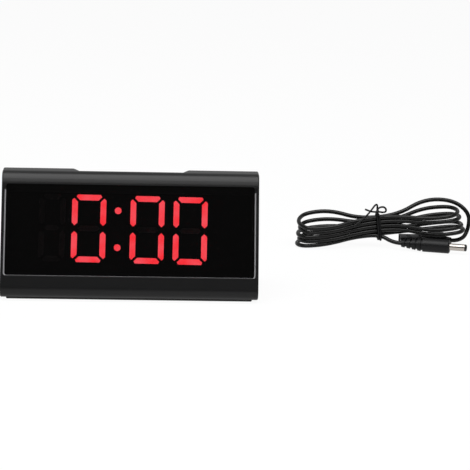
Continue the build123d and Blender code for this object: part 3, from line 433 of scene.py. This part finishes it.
# Power lead: two cores in a soft black PVC jacket, folded in five turns that are drawn in at the waist,
# from the barrel plug round to the rectangular plug. The jacket is extruded, so it is smooth, and each
# strand carries one soft line of light.
lead_diameter = 0.0024
floor_gap = 0.00005
hank_turns = 5
hank_pitch = 0.0025
hank_tilt = radians(6.0)
hank_yaw = radians(3.0)
hank_left = 0.0485
hank_right = 0.0493
waist = Vector((0.1441, 0.1150, lead_diameter / 2 + floor_gap + hank_left * sin(hank_tilt)))
waist_lift = 0.0011
along = Vector((cos(hank_yaw) * cos(hank_tilt), sin(hank_yaw) * cos(hank_tilt), sin(hank_tilt)))
near = Vector((sin(hank_yaw), -cos(hank_yaw), 0.0))
stack = along.cross(-near)

# From one turn to the next, the ends draw in by a step and the folds widen. The left ends lift, and the
# right ends droop, with their back strands a little above their front ones
fold_radius = 0.0076
left_step = 0.0005
left_stagger = 0.0009
left_widening = 0.0005
first_lift = 0.0010
top_lift = 0.0050
right_step = 0.0009
right_widening = 0.0004
right_droops = (0.0037, 0.0033, 0.0010, 0.0008)
back_rises = (0.0036, 0.0036, 0.0036, 0.0052)

# The lead starts at the rear of the barrel plug, which lies askew in front, and ends at the rear of the
# rectangular plug, which lies under the raised right end of the hank
dc_turn = radians(-16.0)
dc_axis = Vector((cos(dc_turn), sin(dc_turn), 0.0))
dc_rear = Vector((0.1561, 0.1065, 0.0040))
dc_pass = -0.005
usb_reach = 0.0425
usb_axis = Vector((-1.0, 0.0, 0.0))
usb_rear = Vector((waist.x + usb_reach, 0.1175, 0.00375))


def hank_point(x, y, z):
    """A point of the hank's own frame: along the folds, towards the reader, up the stack."""
    return waist + along * x + near * y + stack * z


def hank_way(x, y, z):
    """A direction of the hank's own frame."""
    return (along * x + near * y + stack * z).normalized()


# Every turn goes left along the front, round its left end, and right along the back. All but the last
# then come round their right end to the next turn
half_pitch = hank_pitch / 2
route = [(dc_rear, -dc_axis)]
for turn in range(hank_turns):
    level = turn * hank_pitch
    left = hank_left - left_stagger * (turn % 2) - left_step * turn
    fold = fold_radius + left_widening * turn
    lift = first_lift + top_lift * (turn / (hank_turns - 1)) ** 2
    route += [
        (hank_point(0.0 if turn else dc_pass, half_pitch, level + waist_lift), hank_way(-1, 0, 0)),
        (hank_point(fold - left, fold, level), hank_way(-1, 0, 0)),
        (hank_point(-left, 0, level + lift / 2), hank_way(0, -2 * fold, lift)),
        (hank_point(fold - left, -fold, level + lift), hank_way(1, 0, 0)),
        (hank_point(0, -half_pitch, level + waist_lift), hank_way(1, 0, 0)),
    ]
    if turn == hank_turns - 1:
        break
    right = hank_right - right_step * turn
    fold = fold_radius + right_widening * turn
    back = level + back_rises[turn] - right_droops[turn]
    front = level + hank_pitch - right_droops[turn]
    route += [
        (hank_point(right - fold, -fold, back), hank_way(1, 0, 0)),
        (hank_point(right, 0, (back + front) / 2), hank_way(0, 2 * fold, front - back)),
        (hank_point(right - fold, fold, front), hank_way(-1, 0, 0)),
    ]

# The last stretch arches over the right end and comes down into the rear of the rectangular plug
shoulder_reach = 0.040
shoulder_setback = 0.008
shoulder_rise = 0.0062
bend_reach = 0.053
bend_rise = 0.0104
stack_top = (hank_turns - 1) * hank_pitch
shoulder = hank_point(shoulder_reach, -shoulder_setback, stack_top + shoulder_rise)
bend = Vector((waist.x + bend_reach, (shoulder.y + usb_rear.y) / 2, usb_rear.z + bend_rise))
route += [
    (shoulder, Vector((1.0, 0.0, 0.0))),
    (bend, Vector((0.0, 0.0, -1.0))),
    (usb_rear - usb_axis * lead_diameter, usb_axis),
]

# The lead leaves each place of the route along its way, and reaches the next one along that one's
lead_reach = 0.28
lead_points = [dc_rear]
for (start, start_way), (end, end_way) in zip(route[:-1], route[1:]):
    reach = (end - start).length * lead_reach
    lead_points += [start + start_way * reach, end - end_way * reach]
lead_points.append(usb_rear)


def round_wire(name, points, diameter, sides):
    """A smooth round wire that follows a row of control points, as a curve object."""
    curve = bpy.data.curves.new(name, "CURVE")
    curve.dimensions = "3D"
    curve.bevel_depth = diameter / 2
    curve.bevel_resolution = sides // 4 - 1
    curve.resolution_u = 6
    curve.use_fill_caps = True
    line = curve.splines.new("NURBS")
    line.points.add(len(points) - 1)
    for control, point in zip(line.points, points):
        control.co = (*point, 1.0)
    line.order_u = 3
    line.use_endpoint_u = True
    wire = bpy.data.objects.new(name, curve)
    bpy.context.collection.objects.link(wire)
    return wire


lead = round_wire("power_lead_jacket", lead_points, lead_diameter, sides=20)
lead_pvc = moulded(
    "extruded_black_pvc", "#080807", "#0d0d0c", mottle=0.006, grain=0.0006, rough=(0.20, 0.28), ior=1.40
)
lead.data.materials.append(lead_pvc)
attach(lead, "clock")
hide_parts("power_lead")

# Twist tie: a steel wire in a shiny black PVC skin. It goes twice round the waist of the hank, and its
# ends cross on top: one is bent into a loop, and one hangs as a long tail over the front.
# Places are in millimetres of the hank's own frame.
tie_diameter = 0.0011
front_tail = [
    (-15.4, 5.9, 8.8),
    (-13.4, 5.8, 9.7),
    (-11.0, 5.2, 11.2),
    (-8.6, 4.7, 12.8),
    (-6.0, 4.0, 14.9),
    (-3.6, 3.1, 17.2),
    (-1.8, 2.3, 19.0),
    (-0.6, 1.6, 19.3),
    (-0.2, 1.0, 18.0),
    (-0.5, 0.4, 16.4),
    (0.3, -0.6, 15.0),
    (0.3, -2.2, 13.9),
]
first_ring = [
    (0.2, -3.3, 12.6),
    (0.2, -3.4, 8.0),
    (0.1, -3.4, 1.8),
    (0.0, -3.0, -0.3),
    (-0.1, -1.2, -0.95),
    (-0.1, 1.0, -1.5),
    (-0.1, 2.9, -1.95),
    (-0.1, 4.45, -1.3),
    (0.0, 4.75, 0.2),
    (0.1, 4.2, 2.6),
    (0.2, 3.5, 7.0),
    (0.2, 3.3, 12.2),
    (0.0, 2.0, 13.5),
    (-0.4, -0.2, 13.6),
    (-0.8, -2.0, 13.4),
]
second_ring = [
    (-0.9, -3.3, 12.2),
    (-1.0, -3.4, 8.0),
    (-1.1, -3.4, 1.8),
    (-1.2, -3.0, -0.3),
    (-1.3, -1.2, -0.9),
    (-1.3, 1.0, -1.2),
    (-1.3, 2.6, -1.5),
    (-1.2, 3.9, -0.7),
    (-1.1, 4.1, 0.9),
    (-1.0, 3.8, 2.8),
    (-1.0, 3.5, 7.0),
    (-0.9, 3.3, 12.2),
]
loop_and_end = [
    (-0.9, 2.6, 14.0),
    (-1.0, 2.0, 15.2),
    (-0.5, 1.8, 16.3),
    (0.6, 1.6, 17.1),
    (2.2, 1.2, 17.4),
    (3.9, 1.2, 17.0),
    (4.7, 1.6, 15.7),
    (4.2, 2.2, 14.4),
    (2.4, 2.9, 14.4),
    (0.6, 3.5, 15.0),
    (-0.9, 3.7, 15.4),
    (-2.6, 3.1, 15.2),
    (-4.6, 2.0, 15.5),
    (-6.2, 1.8, 16.3),
    (-7.7, 1.6, 17.0),
]
tie_route = front_tail + first_ring + second_ring + loop_and_end
tie_points = [hank_point(*[size / 1000 for size in place]) for place in tie_route]
tie = round_wire("wire_tie", tie_points, tie_diameter, sides=12)
tie_pvc = moulded(
    "skinned_tie_wire", "#09090a", "#0e0e0f", mottle=0.003, grain=0.0004, rough=(0.28, 0.40), ior=1.38
)
tie.data.materials.append(tie_pvc)
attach(tie, "clock")
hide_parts("twist_tie")

# Plugs: satin black PVC moulded over each end of the lead. The barrel plug ends in a smooth insulating
# ring of black acetal, and the rectangular plug has a black contact tongue of PBT inside its shell.
plug_pvc = moulded(
    "moulded_black_pvc", "#0a0a0b", "#101011", mottle=0.005, grain=0.0004, rough=(0.36, 0.50), ior=1.38
)
dress(plug_pvc, "dc_plug_body", "usb_plug_body")
tip_acetal = moulded(
    "black_acetal", "#0e0e0f", "#141415", mottle=0.002, grain=0.0002, rough=(0.25, 0.35), ior=1.48
)
dress(tip_acetal, "dc_plug_tip")
tongue_pbt = moulded(
    "black_pbt", "#111112", "#181819", mottle=0.002, grain=0.0002, rough=(0.35, 0.50), ior=1.55
)
dress(tongue_pbt, "usb_plug_tongue")

# Table: white laminate that runs out of the picture and keeps a faint shadow of what stands on it.
# The camera sees it white, and the black pieces mirror it a third darker, as a table that ends close by.
table_size = 8.0
table_shift = 2.0
white_share = 0.93
mirror_loss = 0.35
bpy.ops.mesh.primitive_plane_add(size=table_size, location=(0.0, table_shift, 0.0))
table = bpy.context.object
table.name = "studio_table"
table_white = bpy.data.materials.new("white_laminate")
table_white.use_nodes = True
tree = table_white.node_tree
tree.nodes.clear()
rays = add_node(tree, "ShaderNodeLightPath")
seen = add_node(
    tree,
    "ShaderNodeMath",
    {0: rays.outputs["Is Camera Ray"], 1: rays.outputs["Is Glossy Ray"]},
    operation="MAXIMUM",
)
seen = add_node(
    tree,
    "ShaderNodeMath",
    {0: seen.outputs["Value"], 1: rays.outputs["Is Transmission Ray"]},
    operation="MAXIMUM",
)
share = add_node(tree, "ShaderNodeMath", {0: seen.outputs["Value"], 1: white_share}, operation="MULTIPLY")
matt = add_node(tree, "ShaderNodeBsdfDiffuse", {"Color": linear("#f4f4f4")})
mirrored = add_node(
    tree,
    "ShaderNodeMath",
    {0: rays.outputs["Is Glossy Ray"], 1: -mirror_loss, 2: 1.0},
    operation="MULTIPLY_ADD",
)
white = add_node(
    tree, "ShaderNodeEmission", {"Color": linear("#ffffff"), "Strength": mirrored.outputs["Value"]}
)
mixed = add_node(
    tree,
    "ShaderNodeMixShader",
    {0: share.outputs["Value"], 1: matt.outputs["BSDF"], 2: white.outputs["Emission"]},
)
add_node(tree, "ShaderNodeOutputMaterial", {"Surface": mixed.outputs["Shader"]})
table.data.materials.append(table_white)

# Room: white to the camera. What the pieces mirror is mid grey behind the table and dark behind the
# camera, so that the lens mirrors nothing bright, and the air between lights them evenly.
front_wall = (0.065, 0.065, 0.065, 1.0)
back_wall = (0.5, 0.5, 0.5, 1.0)
air_light = (0.35, 0.35, 0.36, 1.0)
front_depth = -0.4
back_depth = 0.5
room = bpy.data.worlds.new("studio_room")
bpy.context.scene.world = room
room.use_nodes = True
tree = room.node_tree
tree.nodes.clear()
rays = add_node(tree, "ShaderNodeLightPath")
way = add_node(
    tree, "ShaderNodeSeparateXYZ", {"Vector": add_node(tree, "ShaderNodeTexCoord").outputs["Generated"]}
)
depth = add_node(
    tree,
    "ShaderNodeMapRange",
    {"Value": way.outputs["Y"], "From Min": front_depth, "From Max": back_depth},
)
walls = add_node(
    tree, "ShaderNodeMixRGB", {"Fac": depth.outputs["Result"], "Color1": front_wall, "Color2": back_wall}
)
seen = add_node(
    tree,
    "ShaderNodeMath",
    {0: rays.outputs["Is Glossy Ray"], 1: rays.outputs["Is Transmission Ray"]},
    operation="MAXIMUM",
)
air = add_node(
    tree,
    "ShaderNodeMixRGB",
    {"Fac": seen.outputs["Value"], "Color1": air_light, "Color2": walls.outputs["Color"]},
)
backdrop = add_node(
    tree,
    "ShaderNodeMixRGB",
    {"Fac": rays.outputs["Is Camera Ray"], "Color1": air.outputs["Color"], "Color2": linear("#ffffff")},
)
sky = add_node(tree, "ShaderNodeBackground", {"Color": backdrop.outputs["Color"], "Strength": 1.0})
add_node(tree, "ShaderNodeOutputWorld", {"Surface": sky.outputs["Background"]})

# Softbox: one wide lamp above the front edge, aimed at the clock, which draws the soft band along the
# top roll and the line of light on each strand of the lead.
softbox_place = Vector((0.05, -0.45, 1.25))
softbox_aim = Vector((0.05, 0.02, 0.03))
softbox_light = bpy.data.lights.new("softbox", "AREA")
softbox_light.shape = "RECTANGLE"
softbox_light.size = 2.0
softbox_light.size_y = 1.0
softbox_light.energy = 22.0
softbox = bpy.data.objects.new("softbox", softbox_light)
bpy.context.collection.objects.link(softbox)
softbox.location = softbox_place
softbox.rotation_euler = (softbox_aim - softbox_place).to_track_quat("-Z", "Y").to_euler()

# Camera: a metre in front and a quarter above, panned right of the clock, dipped towards it and rolled
# a little.
camera_place = (0.008, -1.0205, 0.2481)
camera_pan = radians(-2.61)
camera_dip = radians(12.043)
camera_roll = radians(1.4)
camera_lens = bpy.data.cameras.new("camera")
camera_lens.sensor_width = 36.0
camera_lens.lens = 153.2
camera = bpy.data.objects.new("camera", camera_lens)
bpy.context.collection.objects.link(camera)
camera.matrix_world = (
    Matrix.Translation(camera_place)
    @ Matrix.Rotation(camera_pan, 4, "Z")
    @ Matrix.Rotation(pi / 2 - camera_dip, 4, "X")
    @ Matrix.Rotation(camera_roll, 4, "Z")
)
bpy.context.scene.camera = camera
bpy.context.scene.view_settings.view_transform = "Standard"
